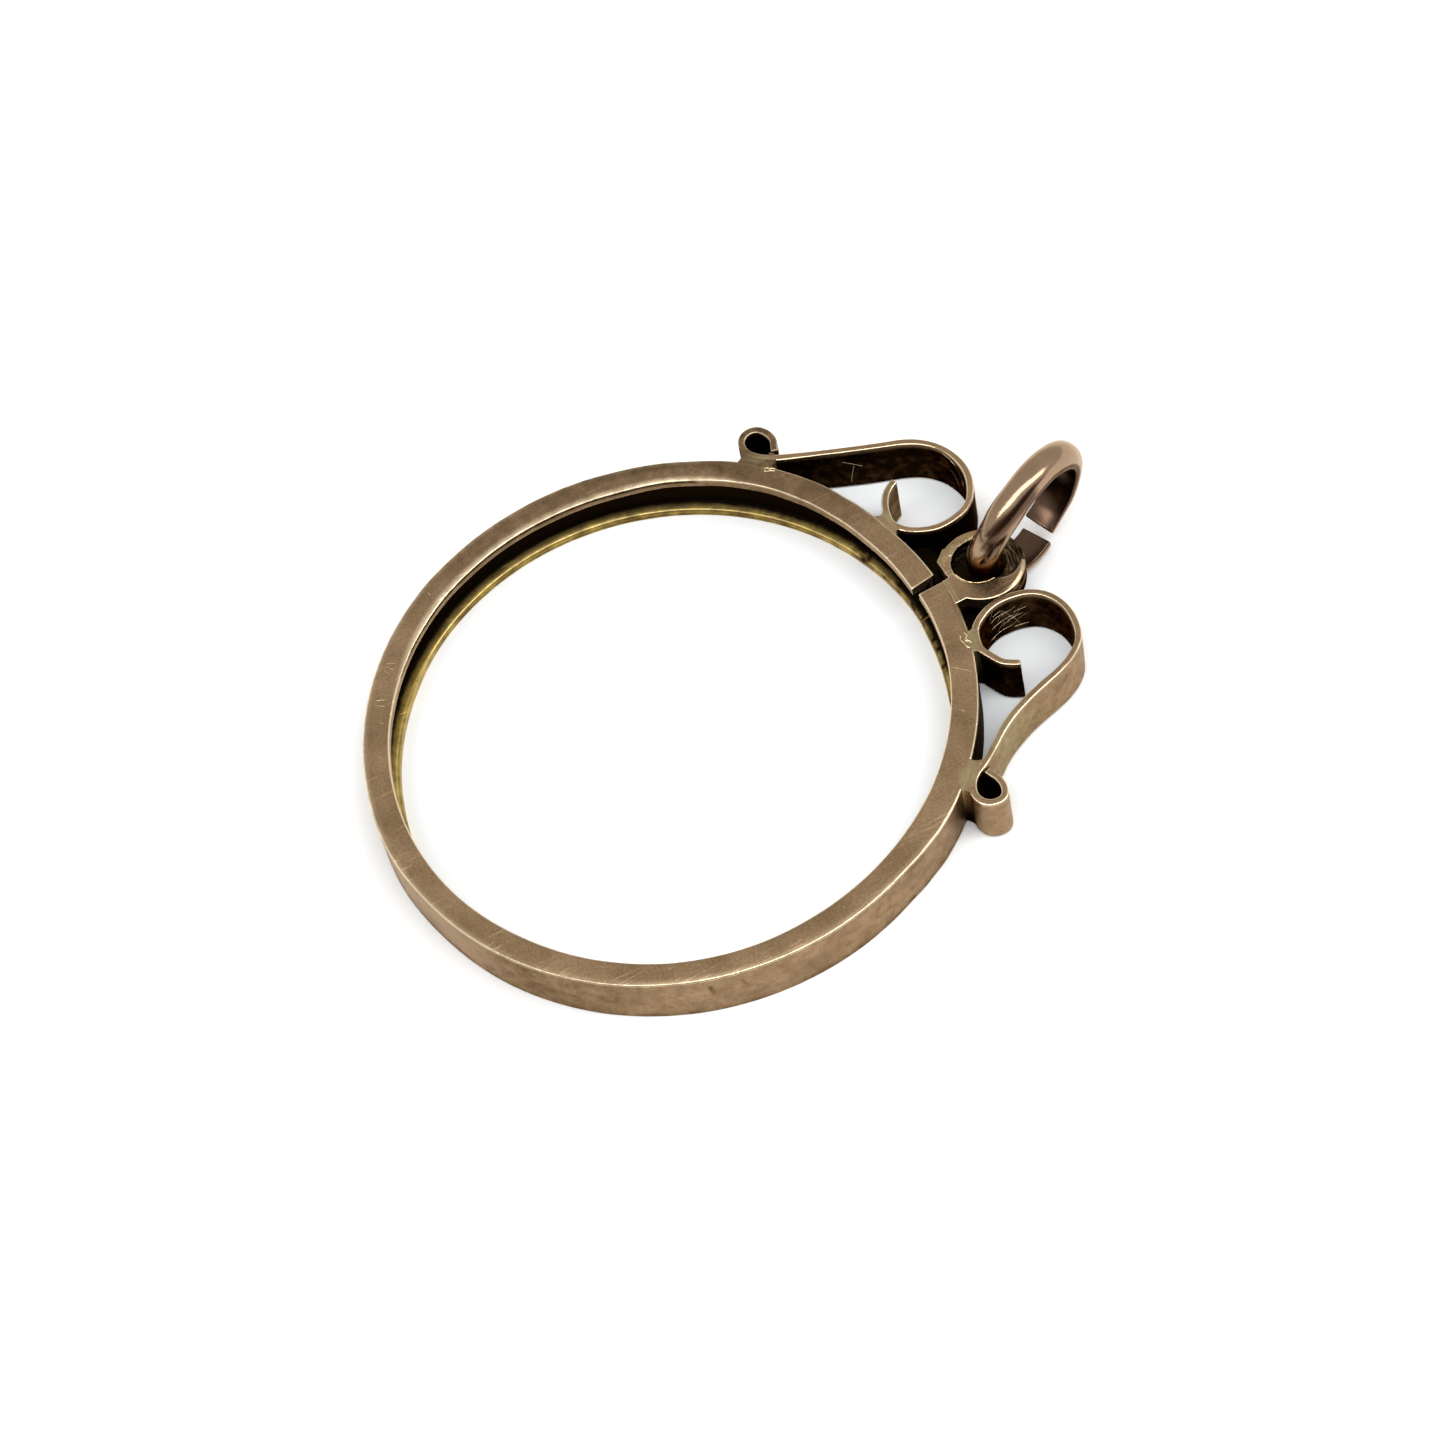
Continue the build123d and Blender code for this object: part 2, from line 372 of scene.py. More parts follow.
frameLook = {
    "dull": (0.292, 0.188, 0.099),
    "bright": (0.415, 0.274, 0.156),
    "cloudSize": 0.55,
    "grainSize": 10.0,
    "grain": 0.32,
    "scratchSize": 7.0,
    "scratchTurns": (20, 78, -47),     # degrees
    "scratchPatches": 0.8,
    "scratch": 0.15,
    "scratchTone": (0.66, 0.48, 0.33),
    "polishDull": (0.15, 0.095, 0.022),
    "polishBright": (0.80, 0.59, 0.16),
    "streakSize": 9.0,
    "workedSize": 1.3,
    "workedShare": 0.45,               # how much the streaks are broken up
    "polishRoughness": 0.29,
    "solderTone": (0.37, 0.32, 0.165),
    "solderClouds": 0.9,
    "solderGrain": 0.4,
    "solderFrom": 0.85,
    "solderFull": 1.45,
    # edges rubbed bright: real wear and a painted highlight
    "rub": 1.0,
    "rubTone": (0.92, 0.75, 0.51),
    "rubRoughness": 0.24,
    # tarnish and painted shade: brown, then black
    "stainAndShade": (0.090, 0.050, 0.024),
    "sootAndShade": (0.011, 0.007, 0.0035),
    "sheen": (1.0, 0.90, 0.80),
    "tarnishSheen": (0.36, 0.25, 0.15),
    "tarnishSize": 2.2,
    "tarnishBreak": 0.65,
    "tarnishRoughness": 0.5,
    "tarnishRelief": 0.6,
    "roughness": 0.38,
    "grainRelief": 0.7,
    "relief": 0.5,
}

frameGold = roseGold("frameGold", frameLook)
ringGold = roseGold("ringGold", {
    **frameLook,
    "dull": (0.290, 0.193, 0.123),
    "bright": (0.365, 0.246, 0.160),
    "cloudSize": 0.35,
    "grain": 0.08,
    "rub": 0.0,
    # reddish: tarnish, and the painted dark reflection down the near leg
    "stainAndShade": (0.085, 0.038, 0.027),
    "tarnishBreak": 0.16,
    "tarnishRoughness": 0.24,
    "tarnishSheen": (0.55, 0.46, 0.40),
    "roughness": 0.17,
    "grainRelief": 0.15,
    "tarnishRelief": 0.1,
    "relief": 0.3,
})
brightGold = roseGold("brightGold", {
    **frameLook,
    "dull": (0.50, 0.38, 0.21),
    "bright": (0.86, 0.69, 0.43),
    "cloudSize": 4.0,
    "solderTone": (0.78, 0.69, 0.38),
    "roughness": 0.3,
})
print("metals mixed")


# the split band with its coin groove

band = {
    "wall": 0.53 * mm,
    "lipCover": 0.42 * mm,
    "lipHeight": 0.43 * mm,
    "outerRound": 0.072 * mm,
    "lipRound": 0.052 * mm,
    "roundSteps": 3,
    "rightEnd": 1.75,          # degrees from the middle to the band's right end
    "gap": 1.90,               # degrees of the split
    "gapTaper": 0.35,          # degrees that the left end leans off
    "rightTaper": 0.25,        # degrees that the right end leans off at its inner edge
    "lowGap": 0.55,            # degrees that each end comes closer at the low lip
    "steps": 420,
    "topLines": (0.085, 0.12, 0.16, 0.27, 0.36, 0.50, 0.65, 0.73, 0.80, 0.86),    # mm out from the lip
    "wallLines": (0.08, 0.25, 0.5, 0.75, 0.92, 0.955, 0.965),                     # shares of the height
    "lowLipOut": 0.08 * mm,    # how much wider the low lip is near the split and on the left
    "endRound": 0.045 * mm,
    "crown": 0.03 * mm,        # how far the top falls away towards its outer edge
    "innerWear": 0.06 * mm,    # and towards its inner edge on the far side
    "lowLipWear": 0.06 * mm,   # how far the low lip slopes inwards
    "waves": (0.020 * mm, 5 * mm),     # how far in and out, and how long
    "dents": (0.008 * mm, 0.9 * mm),
    # how years of wear have bent it: degrees, then how far the outer and the inner edge stand out, in mm
    "bends": [
        (-180, 0.09, -0.02), (-160, 0.04, -0.03), (-140, 0.03, -0.08), (-120, 0.02, -0.09),
        (-108, -0.03, -0.14), (-90, -0.05, -0.17), (-76, -0.05, -0.15), (-60, 0.03, -0.01),
        (-50, 0.09, 0.06), (-42, 0.09, 0.07), (-33, 0.07, 0.01), (-25, 0.00, -0.06), (-15, -0.07, -0.12),
        (0.8, -0.01, -0.11), (1.2, 0.26, 0.01), (8, 0.22, 0.05), (20, 0.21, 0.10), (50, 0.21, 0.05),
        (56, 0.18, 0.03), (62, 0.10, 0.02), (68, 0.03, 0.01), (85, 0.04, 0.02), (100, 0.04, 0.06),
        (115, 0.05, 0.06), (130, 0.07, 0.02), (148, 0.05, -0.01), (165, 0.03, 0.00), (180, 0.09, -0.02),
    ],
    # tarnish and painted shade from 0 to 1, all round
    "grooveDark": 0.97,
    "lineDark": 0.62,          # the fine line along the low lip
    # painted shade over the whole outer wall
    "wallDark": 0.22,
    "footDark": 0.36,          # painted shade low on the outer wall
    # painted shade on the far side
    "farDark": 0.34,
    "spotDark": 0.75,
    # tarnish and painted shade in stretches: how much, from and to which degree, and how many degrees it
    # fades over
    "bySplit": (0.40, -16, 26, 5),
    "hidden": (0.90, -12, 16, 6),
    "cracked": (0.80, -24, 28, 6),
    "topEdge": (0.75, -142, -38, 8),
    # painted shade on the outer wall behind the strips, and painted light and shade in two stretches of it
    "behindStrips": (0.95, -49, 48, 1.5),
    "litWall": (-0.14, 156, 176, 8),
    "darkWall": (0.10, 124, 150, 9),
    "dirtyTop": (0.42, -86, -42, 10),
    # small dark spots on the outer wall: degrees, height and size in mm
    "spots": [
        (136.5, 1.45, 0.16), (109.0, 1.72, 0.13), (103.5, 1.75, 0.10), (94.5, 1.60, 0.12),
        (150.0, 0.80, 0.10),
    ],
    # how bright its edges are rubbed and painted as highlight: on the low half, and how much less on the near
    # side
    "lowRubHighlight": 0.12,
    "nearRubHighlight": (0.35, 55, 175, 8),
}


def bendAt(angle):
    # eased between the two rows on either side
    bends = band["bends"]
    for (start, outer, inner), (end, nextOuter, nextInner) in zip(bends, bends[1:]):
        if angle <= end:
            share = fade(angle, start, end)
            return (outer + (nextOuter - outer) * share) * mm, (inner + (nextInner - inner) * share) * mm
    return 0.0, 0.0


grooveRadius = bandRadius - band["wall"]
lipRadius = grooveRadius - band["lipCover"]


def makeBand():
    letGo()
    middle = ((grooveRadius + bandRadius) / 2, 0, bandDepth / 2)
    bpy.ops.mesh.primitive_plane_add(size=1, location=middle, rotation=(math.pi / 2, 0, 0))
    piece = named("band")
    piece.scale = (band["wall"], bandDepth, 1)
    setInPlace(piece)
    lips = (band["lipHeight"], bandDepth - band["lipHeight"])
    cutAcross(piece, Vector((0, 0, 1)), lips)
    pickUp(piece)
    pickIn(piece, "EDGE", lambda p: p.x < grooveRadius + tiny and not lips[0] < p.z < lips[1])
    bpy.ops.mesh.extrude_region_move(TRANSFORM_OT_translate={"value": (-band["lipCover"], 0, 0)})
    pickIn(piece, "VERT", lambda p: abs(p.x - bandRadius) < tiny and min(p.z, bandDepth - p.z) < tiny)
    bpy.ops.mesh.bevel(offset=band["outerRound"], segments=band["roundSteps"], affect="VERTICES")
    pickIn(piece, "VERT", lambda p: abs(p.x - lipRadius) < tiny)
    bpy.ops.mesh.bevel(offset=band["lipRound"], segments=band["roundSteps"], affect="VERTICES")
    letGo()
    cutAcross(piece, Vector((1, 0, 0)), [lipRadius + step * mm for step in band["topLines"]])
    cutAcross(piece, Vector((0, 0, 1)), [share * bandDepth for share in band["wallLines"]])
    editAll(piece)
    start, whole = math.radians(90 - band["rightEnd"]), math.radians(360 - band["gap"])
    bpy.ops.transform.rotate(value=-start, orient_axis="Z", center_override=(0, 0, 0))
    bpy.ops.mesh.spin(steps=band["steps"], angle=whole, center=(0, 0, 0), axis=(0, 0, 1))
    letGo()
    closeUp(piece)
    roundEnds(piece, band["endRound"], 2, 60)
    wearBand(piece)
    unsettle(piece, *band["waves"], level=True)
    unsettle(piece, *band["dents"], seed=7, level=True)
    smoothOver(piece)
    return piece


def wearBand(piece):
    # wears the lips down, bends the ring out of round and leans its ends at the split
    lipTop = band["lipHeight"]
    for v in piece.data.vertices:
        angle, radius = angleOf(v.co), v.co.xy.length
        across = (radius - lipRadius) / (bandRadius - lipRadius)
        if v.co.z > bandDepth - 0.2 * mm:
            plain = min(1.0, between(angle, -180, -56, 4) + between(angle, 56, 180, 4))
            v.co.z -= plain * band["crown"] * fade(across, 0.65, 1.0)
            v.co.z -= between(angle, -138, -48, 12) * band["innerWear"] * (1 - fade(across, 0.0, 0.28))
        if lipTop - 0.1 * mm < v.co.z < lipTop + tiny:
            v.co.z -= band["lowLipWear"] * (1 - fade(radius - lipRadius, 0.0, 0.30 * mm))
        outer, inner = bendAt(angle)
        inner *= fade(v.co.z, lipTop, bandDepth - lipTop)
        if v.co.z < bandDepth / 2 and radius < lipRadius + 0.1 * mm:
            byLeft = max(between(angle, -176, -130, 10), between(angle, 170, 190, 5))
            inner -= band["lowLipOut"] * max(between(angle, 2, 24, 5), byLeft)
        v.co.xy *= 1 + (inner + (outer - inner) * across) / radius
        closer = band["lowGap"] * (1 - fade(v.co.z, 0.4 * mm, 1.2 * mm))
        lean = 0.0
        if -6 < angle < 1:
            lean = (band["gapTaper"] * (across - 0.5) * 2 - closer) * fade(angle, -6, 0)
        if 1 < angle < 8:
            lean = (closer - band["rightTaper"] * (1 - across)) * (1 - fade(angle, 2, 8))
        if lean:
            v.co = Matrix.Rotation(math.radians(lean), 3, "Z") @ v.co


def stretchOf(name, angle):
    amount, start, end, soft = band[name]
    return amount * between(angle, start, end, soft)


def bandTarnishAndShade(place):
    angle, radius = angleOf(place), place.xy.length
    fromLip, lipTop = radius - lipRadius, band["lipHeight"]
    amount = 0.0
    if lipTop - 0.12 * mm < place.z < bandDepth - lipTop + tiny:
        if radius < bandRadius - 0.2 * mm:
            amount = band["grooveDark"] * fade(fromLip, 0.20 * mm, 0.34 * mm)
        if place.z < lipTop + tiny:
            # the fine dark line along the low lip, and its cracked stretch by the split
            line = band["lineDark"] * between(fromLip, 0.080 * mm, 0.125 * mm, 0.012 * mm)
            hidden = stretchOf("hidden", angle) * fade(fromLip, 0.08 * mm, 0.18 * mm)
            cracked = stretchOf("cracked", angle) * fade(noise.noise(place / (0.16 * mm)), 0.18, 0.34)
            amount = max(amount, line, stretchOf("bySplit", angle), hidden, cracked)
    if bandDepth - 0.115 * mm < place.z < bandDepth - 0.075 * mm and fromLip < 0.02 * mm:
        amount = stretchOf("topEdge", angle)
    # the outer wall: painted shade behind the strips, all over and low down, painted light and shade in
    # stretches, and real dark spots
    if radius > bandRadius + bendAt(angle)[0] - 0.09 * mm:
        behindStrips = stretchOf("behindStrips", angle) * fade(bandDepth - place.z, 0.06 * mm, 0.2 * mm)
        wall = band["wallDark"] + stretchOf("litWall", angle) + stretchOf("darkWall", angle)
        foot = band["footDark"] * (1 - fade(place.z, 0.05 * mm, 0.75 * mm))
        amount = max(behindStrips, wall, foot)
        for spot, height, size in band["spots"]:
            # a degree is about 0.2 mm along the wall
            reach = math.hypot((angle - spot) * 0.2, place.z / mm - height) / size
            amount = max(amount, band["spotDark"] * (1 - fade(reach, 0.5, 1.2)))
    # painted shade over the far side of the band
    farSideShade = band["farDark"] * fade(-place.x + 0.4 * place.y, 2 * mm, 11 * mm)
    dirtyTop = stretchOf("dirtyTop", angle) * fade(fromLip, 0.2 * mm, 0.5 * mm)
    return max(amount, farSideShade, dirtyTop)


def bandPolish(place):
    # the low lip
    if place.z > band["lipHeight"] + 0.02 * mm or place.z < 0.02 * mm:
        return 0.0
    return fade(grooveRadius - place.xy.length, 0.02 * mm, 0.06 * mm)


# rubbed edges and their painted highlight
def bandRubAndHighlight(place):
    return band["lowRubHighlight"] if place.z < bandDepth / 2 else 1 - stretchOf("nearRubHighlight", angleOf(place))


# where solder shows green on the metal: angle, half width in degrees, how far in from the band's edge
solderGlow = [(-44.4, 4.6, 0.45), (-16.4, 3.6, 0.40), (16.0, 3.4, 0.30), (45.2, 3.4, 0.08), (4.6, 4.8, -0.12)]


def solderTint(place):
    amount = 0.0
    for angle, halfWidth, inward in solderGlow:
        near = 1 - abs(angleOf(place) - angle) / halfWidth
        reach = (place.xy.length - bandRadius) / mm
        amount = max(amount, 0.75 * near * fade(reach, -inward, 0.2) * (1 - fade(reach, 0.35, 0.8)))
    return amount


bandPiece = makeBand()
paint(bandPiece, tarnish=bandTarnishAndShade, polish=bandPolish, solder=solderTint, rub=bandRubAndHighlight)
print("band turned", len(bandPiece.data.polygons), "faces")


# the two scrolls, each bent from one strip

strip = {
    "thickness": 0.27 * mm,
    "height": 2.3 * mm,
    "reach": 4.0 * mm,
    "round": 0.048 * mm,
    "rows": 8,
    "stepAngle": 6,
    "stepLength": 0.25 * mm,
    "endRound": 0.06 * mm,
    "waves": (0.030 * mm, 2.2 * mm),     # how far in and out, and how long
    "dents": (0.010 * mm, 0.5 * mm),
    # stations from the small curl's free end to the big curl's tail:
    # degrees round the band, share of the reach over the band, direction from +X in degrees
    "left": [
        (-43.2, 0.22, 163), (-44.7, 0.37, 185), (-48.8, 0.39, 270), (-49.0, 0.19, 360), (-44.7, 0.12, 410),
        (-40.4, 0.19, 425), (-28.6, 0.61, 427), (-22.5, 0.92, 411), (-14.7, 0.98, 360), (-10.0, 0.79, 324),
        (-8.5, 0.42, 272), (-11.3, 0.13, 235), (-16.2, 0.06, 175), (-20.0, 0.22, 145), (-21.0, 0.42, 112),
    ],
    "right": [
        (43.2, 0.22, 17), (44.9, 0.39, 2), (48.2, 0.43, 270), (48.5, 0.20, 180), (45.5, 0.13, 138),
        (41.3, 0.19, 123), (31.9, 0.38, 115), (25.6, 0.73, 104), (20.9, 1.01, 130), (15.0, 1.03, 180),
        (10.8, 0.84, 223), (9.6, 0.46, 267), (12.4, 0.17, 306), (17.0, 0.11, 350), (20.8, 0.25, 384),
        (22.2, 0.47, 423),
    ],
    # tarnish and painted shade from 0 to 1
    "curlDark": 0.97,                    # painted shade inside the curls
    "leftDark": (0.80, 0.18),            # painted shade on the big curl's back, and what is left on the rubbed back
    # painted shade on the tail
    "leftTail": 0.30,
    "rightDark": (0.76, 0.20),           # painted shade inside the big curl, and on the small one's back
    "rightTail": (0.80, 0.24),           # painted shade on the big curl's back by the ear, and on the run's back
    # painted shade on the small curl's free end
    "endDark": 0.95,
    "dirtyCurl": 0.40,                   # on top of the left small curl
    "greenRun": (0.50, 28, 41, 5),       # solder colour on the right strip: how much, from, to and fade
}


def directionOf(angle):
    turn = math.radians(angle)
    return Vector((math.cos(turn), math.sin(turn), 0))


def leftOf(way):
    return Vector((-way.y, way.x, 0))


def midLine(side):
    # places and directions of arcs that run smoothly through one strip's stations
    stations = strip[side]
    places = [around(angle, bandRadius + share * strip["reach"]) for angle, share, way in stations]
    ways = [directionOf(way) for angle, share, way in stations]
    line = [(places[0], ways[0])]
    for i in range(1, len(stations)):
        chord = places[i] - places[i - 1]
        spread = 2 * (1 - ways[i - 1].dot(ways[i]))
        along = chord.dot(ways[i - 1] + ways[i])
        reach = chord.dot(chord) / (2 * along)
        if spread > 1e-6:
            reach = (math.sqrt(along * along + spread * chord.dot(chord)) - along) / spread
        first = places[i - 1] + ways[i - 1] * reach
        last = places[i] - ways[i] * reach
        line.append(((first + last) / 2, (last - first).normalized()))
        line.append((places[i], ways[i]))
    return line


def arcOf(place, way, nextPlace):
    # radius to the left, and turn, of the arc that leaves place this way and ends at nextPlace
    chord = nextPlace - place
    bulge = chord.dot(leftOf(way))
    return chord.dot(chord) / (2 * bulge), 2 * math.atan2(bulge, chord.dot(way))


def makeScroll(side):
    line = midLine(side)
    start, way = line[0]
    middle = bandDepth - strip["height"] / 2
    letGo()
    bpy.ops.mesh.primitive_grid_add(x_subdivisions=strip["rows"], y_subdivisions=1, size=1)
    piece = named("scroll_" + side)
    columns = (Vector((0, 0, strip["height"])), -leftOf(way) * strip["thickness"], way * mm)
    stood = Matrix(columns).transposed().to_4x4()
    piece.matrix_world = Matrix.Translation(start + Vector((0, 0, middle))) @ stood
    setInPlace(piece)
    topAndBottom = (bandDepth, bandDepth - strip["height"])
    pickIn(piece, "VERT", lambda p: min(abs(p.z - z) for z in topAndBottom) < tiny)
    bpy.ops.mesh.bevel(offset=strip["round"], segments=3, affect="VERTICES")
    bpy.ops.mesh.select_all(action="SELECT")
    for (place, way), (nextPlace, nextWay) in zip(line, line[1:]):
        radius, turn = arcOf(place, way, nextPlace)
        byAngle = math.ceil(abs(math.degrees(turn)) / strip["stepAngle"])
        byLength = math.ceil(abs(radius * turn) / strip["stepLength"])
        centre = place + leftOf(way) * radius
        bpy.ops.mesh.spin(steps=max(2, byAngle, byLength), angle=-turn, center=centre, axis=(0, 0, 1))
    letGo()
    closeUp(piece)
    roundEnds(piece, strip["endRound"], 3, 50)
    unsettle(piece, *strip["waves"], seed=len(strip[side]), level=True)
    unsettle(piece, *strip["dents"], seed=3, level=True)
    smoothOver(piece)
    return piece


def scrollTarnishAndShade(side, wallsAt, topAt):
    # wallsAt gives how dark the left and right walls are at a station, as painted shade, and topAt how dark
    # the top is
    line = midLine(side)
    dense = []
    parts = 12     # spots to each arc
    for i, ((place, way), (nextPlace, nextWay)) in enumerate(zip(line, line[1:])):
        radius, turn = arcOf(place, way, nextPlace)
        centre = place + leftOf(way) * radius
        for part in range(parts):
            spin = Matrix.Rotation(turn * part / parts, 3, "Z")
            dense.append((centre + spin @ (place - centre), spin @ way, (i + part / parts) / 2))
    tree = kdtree.KDTree(len(dense))
    for i, (place, way, station) in enumerate(dense):
        tree.insert(place, i)
    tree.balance()

    def amountAt(place):
        flat = Vector((place.x, place.y, 0))
        nearest, way, station = dense[tree.find(flat)[1]]
        across = (flat - nearest).dot(leftOf(way)) / strip["thickness"]
        leftWall, rightWall = wallsAt(station)
        # the walls darken from just under the top: painted shade
        down = fade(bandDepth - place.z, 0.03 * mm, 0.14 * mm)
        walls = max(leftWall * fade(across, 0.0, 0.3), rightWall * fade(-across, 0.0, 0.3))
        if station < 0.12:
            walls = strip["endDark"]     # painted shade on the small curl's free end
        return max(topAt(station), down * walls)

    return amountAt


def leftWallsAt(station):
    # painted shade on the walls: the left wall is inside both curls, and the right wall is their back,
    # fainter on the tail
    smallCurl = strip["curlDark"] * (1 - fade(station, 4.0, 4.8))
    bigCurl = strip["curlDark"] * between(station, 8.7, 12.3, 0.5)
    tail = strip["leftTail"] * fade(station, 12.3, 12.8)
    dark, rubbed = strip["leftDark"]
    back = dark * fade(station, 2.7, 3.3) * (1 - 0.5 * fade(station, 12.4, 13.2))
    return max(smallCurl, bigCurl, tail), max(rubbed, back)


def rightWallsAt(station):
    # painted shade on the walls, the other way round: the left wall is inside the big curl, the right wall
    # inside the small one
    dark, rubbed = strip["rightDark"]
    inside = dark * fade(station, 2.7, 3.3)
    smallCurl = strip["curlDark"] * (1 - fade(station, 4.7, 5.1))
    tailDark, runDark = strip["rightTail"]
    return max(rubbed, inside), max(smallCurl, runDark, tailDark * fade(station, 9.8, 10.8))


def scrollSolder(place):
    amount, start, end, soft = strip["greenRun"]
    return max(solderTint(place), amount * between(angleOf(place), start, end, soft))


leftScroll = makeScroll("left")
rightScroll = makeScroll("right")
for piece, side, wallsAt, dirt in (
    (leftScroll, "left", leftWallsAt, strip["dirtyCurl"]),
    (rightScroll, "right", rightWallsAt, 0.0),
):
    tarnish = scrollTarnishAndShade(side, wallsAt, lambda station: dirt * (1 - fade(station, 3.2, 5.0)))
    paint(piece, tarnish=tarnish, solder=scrollSolder, rub=1.0)
print("scrolls bent", len(leftScroll.data.polygons) + len(rightScroll.data.polygons), "faces")


# the ear that carries the jump ring

ear = {
    "radius": 1.68 * mm,
    "height": 1.05 * mm,
    "middle": Vector((0.41 * mm, bandRadius + 1.80 * mm, 0)),
    "hole": Vector((0.19 * mm, bandRadius + 1.76 * mm, 0)),
    "holeRadius": 1.04 * mm,
    "lowHole": Vector((0.24 * mm, bandRadius + 1.96 * mm, 0)),
    "lowHoleRadius": 1.20 * mm,
    "lowHoleTop": 0.86 * mm,          # under the top
    "wireTop": 0.42 * mm,             # under the top, where a fill closes the hole up to the wire, blackened as painted shade
    "wireHole": (0.70 * mm, 0.53 * mm),
    "wireMiddle": Vector((0.31 * mm, bandRadius + 2.04 * mm, bandDepth - 0.55 * mm)),
    "wireWay": Vector((0.33, -0.51, 1.05)),
    "cut": bandRadius + 0.40 * mm,    # nothing but the neck is nearer to the band
    "footLeft": -0.68 * mm,
    "footLean": (-0.42 * mm, -0.9 * mm),     # how far its far left corner is pulled out
    "neckLeft": 0.33 * mm,
    "neckRight": 1.52 * mm,
    "neckFrom": bandRadius + 0.13 * mm,
    "wear": Vector((0.40 * mm, bandRadius + 2.45 * mm, 0)),
    "wearRadius": 0.97 * mm,
    "wearWide": 1.12,
    "wearDepth": 0.45 * mm,
    "voxel": 0.026 * mm,
    # how far wear has lowered the top, in mm: the left land, more at its outer and inner edge,
    # the hole's mouth and how wide that is, and the far rim
    "leftLower": (0.12, 0.05, 0.03),
    "mouthLower": (0.035, 0.12),
    "farLower": 0.09,
    "pits": (0.035 * mm, 0.25 * mm),     # how far in and out, and how long
    "finePits": (0.030 * mm, 0.10 * mm),
    # how much the metal's looks show, from 0 to 1
    # painted shade under the ear's top
    "underDark": 0.95,
    "wornDark": (0.62, 0.55),            # the worn side of the hole, and how streaky that is
    "jointSolder": 0.6,
    "leftSolder": 0.10,
    "leftPolish": 0.2,
    # less rubbed edge and painted highlight on the left land and the far rim
    "leftRubHighlightLess": 0.7,
    "farRubHighlightLess": 0.6,
}


def blockOf(lowX, highX, lowY, highY, lowZ, highZ):
    letGo()
    middle = ((lowX + highX) / 2, (lowY + highY) / 2, (lowZ + highZ) / 2)
    bpy.ops.mesh.primitive_cube_add(size=1, location=middle)
    block = bpy.context.object
    block.scale = (highX - lowX, highY - lowY, highZ - lowZ)
    setInPlace(block)
    return block


def rodOf(place, radius, low, high, topRadius=None):
    letGo()
    bpy.ops.mesh.primitive_cone_add(vertices=96, radius1=radius, radius2=topRadius or radius,
                                    depth=high - low, location=(place.x, place.y, (low + high) / 2))
    return bpy.context.object


def joinBy(piece, other, how):
    finishWith(piece, "BOOLEAN", operation=how, object=other, solver="EXACT")
    bpy.data.objects.remove(other)


def makeEar():
    top = bandDepth + 0.004 * mm
    low = bandDepth - ear["height"]
    letGo()
    middle = ear["middle"] + Vector((0, 0, (top + low) / 2))
    bpy.ops.mesh.primitive_cylinder_add(vertices=128, radius=ear["radius"], depth=top - low, location=middle)
    piece = named("ear")
    setInPlace(piece)
    spare = 3 * mm
    foot = blockOf(ear["footLeft"], ear["middle"].x, ear["cut"], ear["middle"].y, low, top)
    pickUp(foot)
    pickIn(foot, "VERT", lambda p: p.x < ear["footLeft"] + tiny and p.y > ear["cut"] + tiny)
    bpy.ops.transform.translate(value=(*ear["footLean"], 0))
    letGo()
    joinBy(piece, foot, "UNION")
    joinBy(piece, blockOf(-spare, spare, ear["cut"] - spare, ear["cut"], low - mm, top + mm), "DIFFERENCE")
    neck = blockOf(ear["neckLeft"], ear["neckRight"], bandRadius - 0.2 * mm, ear["middle"].y, low, top)
    joinBy(piece, neck, "UNION")
    joinBy(piece, rodOf(Vector((0, 0, 0)), ear["neckFrom"], low - mm, top + mm), "DIFFERENCE")
    joinBy(piece, rodOf(ear["hole"], ear["holeRadius"], top - ear["wireTop"], top + mm), "DIFFERENCE")
    lowHole = rodOf(ear["lowHole"], ear["lowHoleRadius"], low - mm, top - ear["lowHoleTop"])
    joinBy(piece, lowHole, "DIFFERENCE")
    wireHole = rodOf(Vector((0, 0, 0)), mm, -2 * mm, 2 * mm)
    wireHole.scale = (ear["wireHole"][0] / mm, ear["wireHole"][1] / mm, 1)
    wireHole.rotation_euler = ear["wireWay"].to_track_quat("Z", "Y").to_euler()
    wireHole.location = ear["wireMiddle"]
    joinBy(piece, wireHole, "DIFFERENCE")
    wide = ear["wearRadius"]
    wear = rodOf(ear["wear"], 0.66 * wide, top - ear["wearDepth"], top + tiny, wide)
    wear.scale.x = ear["wearWide"]
    joinBy(piece, wear, "DIFFERENCE")
    finishWith(piece, "REMESH", mode="VOXEL", voxel_size=ear["voxel"])
    finishWith(piece, "SMOOTH", factor=0.5, iterations=3)
    wearEar(piece, low, top)
    unsettle(piece, *ear["pits"], seed=2, where=pitted)
    unsettle(piece, *ear["finePits"], seed=6, where=pitted)
    smoothOver(piece, 60, weighted=False)
    return piece


def fromEar(place):
    # 0 in the middle of the ear, 1 at its outline
    return (place.xy - ear["middle"].xy).length / ear["radius"]


